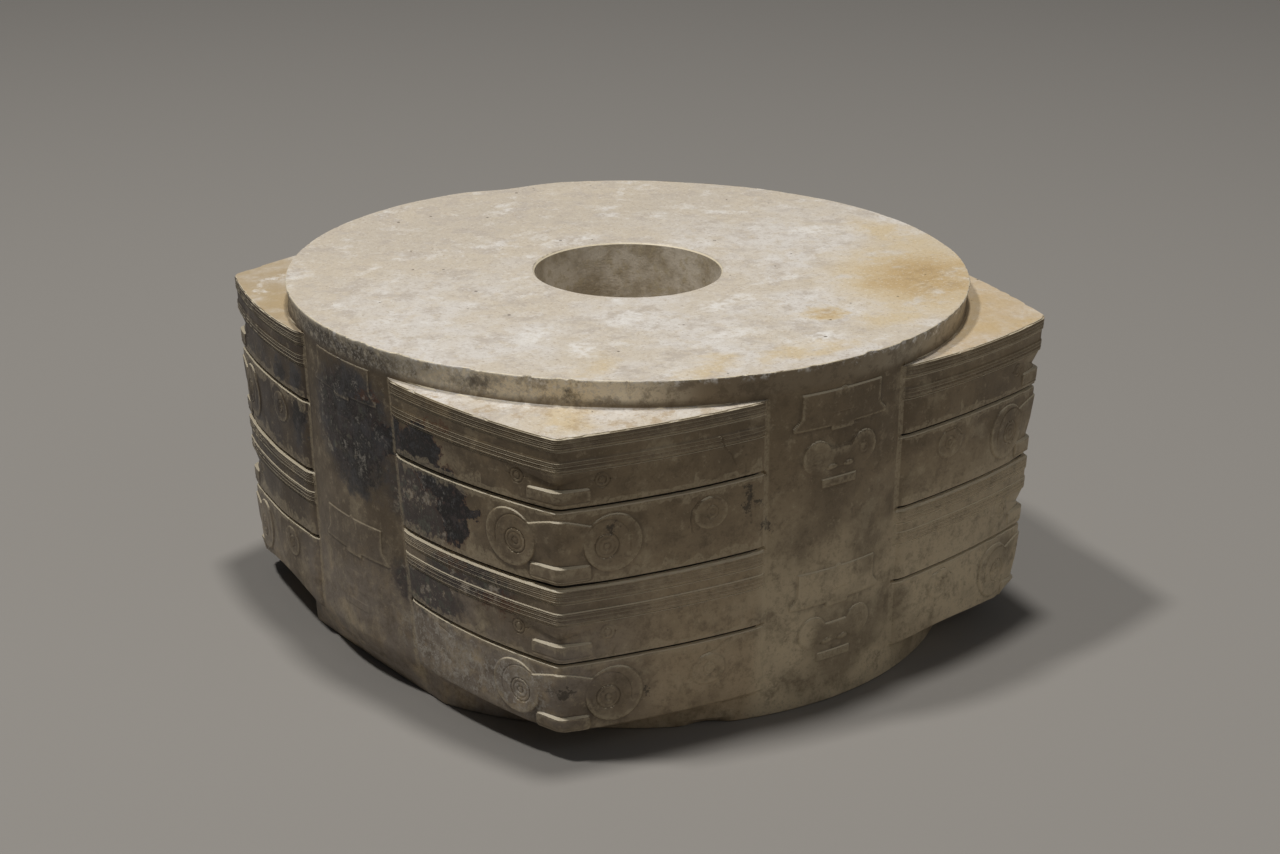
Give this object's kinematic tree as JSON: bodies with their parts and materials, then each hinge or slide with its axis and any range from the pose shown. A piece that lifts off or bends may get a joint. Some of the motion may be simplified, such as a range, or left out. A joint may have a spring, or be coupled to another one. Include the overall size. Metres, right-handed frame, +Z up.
{
  "type": "jade cong",
  "caption": "Low, wide ancient jade cong: square-cornered outside, round bore and collars, stepped corner blocks with nose bars, carved from one stone.",
  "frame": {"origin": "centre of the foot, on the surface the cong stands on, below the middle of the bore", "axes": "+Z up along the bore; the flat groove panels look along +X, +Y, -X and -Y, and the corner blocks stand on the diagonals between them"},
  "size_m": [0.1734, 0.1734, 0.089],
  "materials": {
    "jade": "polished altered nephrite, cream to grey-brown with darker mineral stains, soft waxy sheen"
  },
  "bodies": {
    "root": {"jade_cong": "jade"}
  },
  "joints": []
}
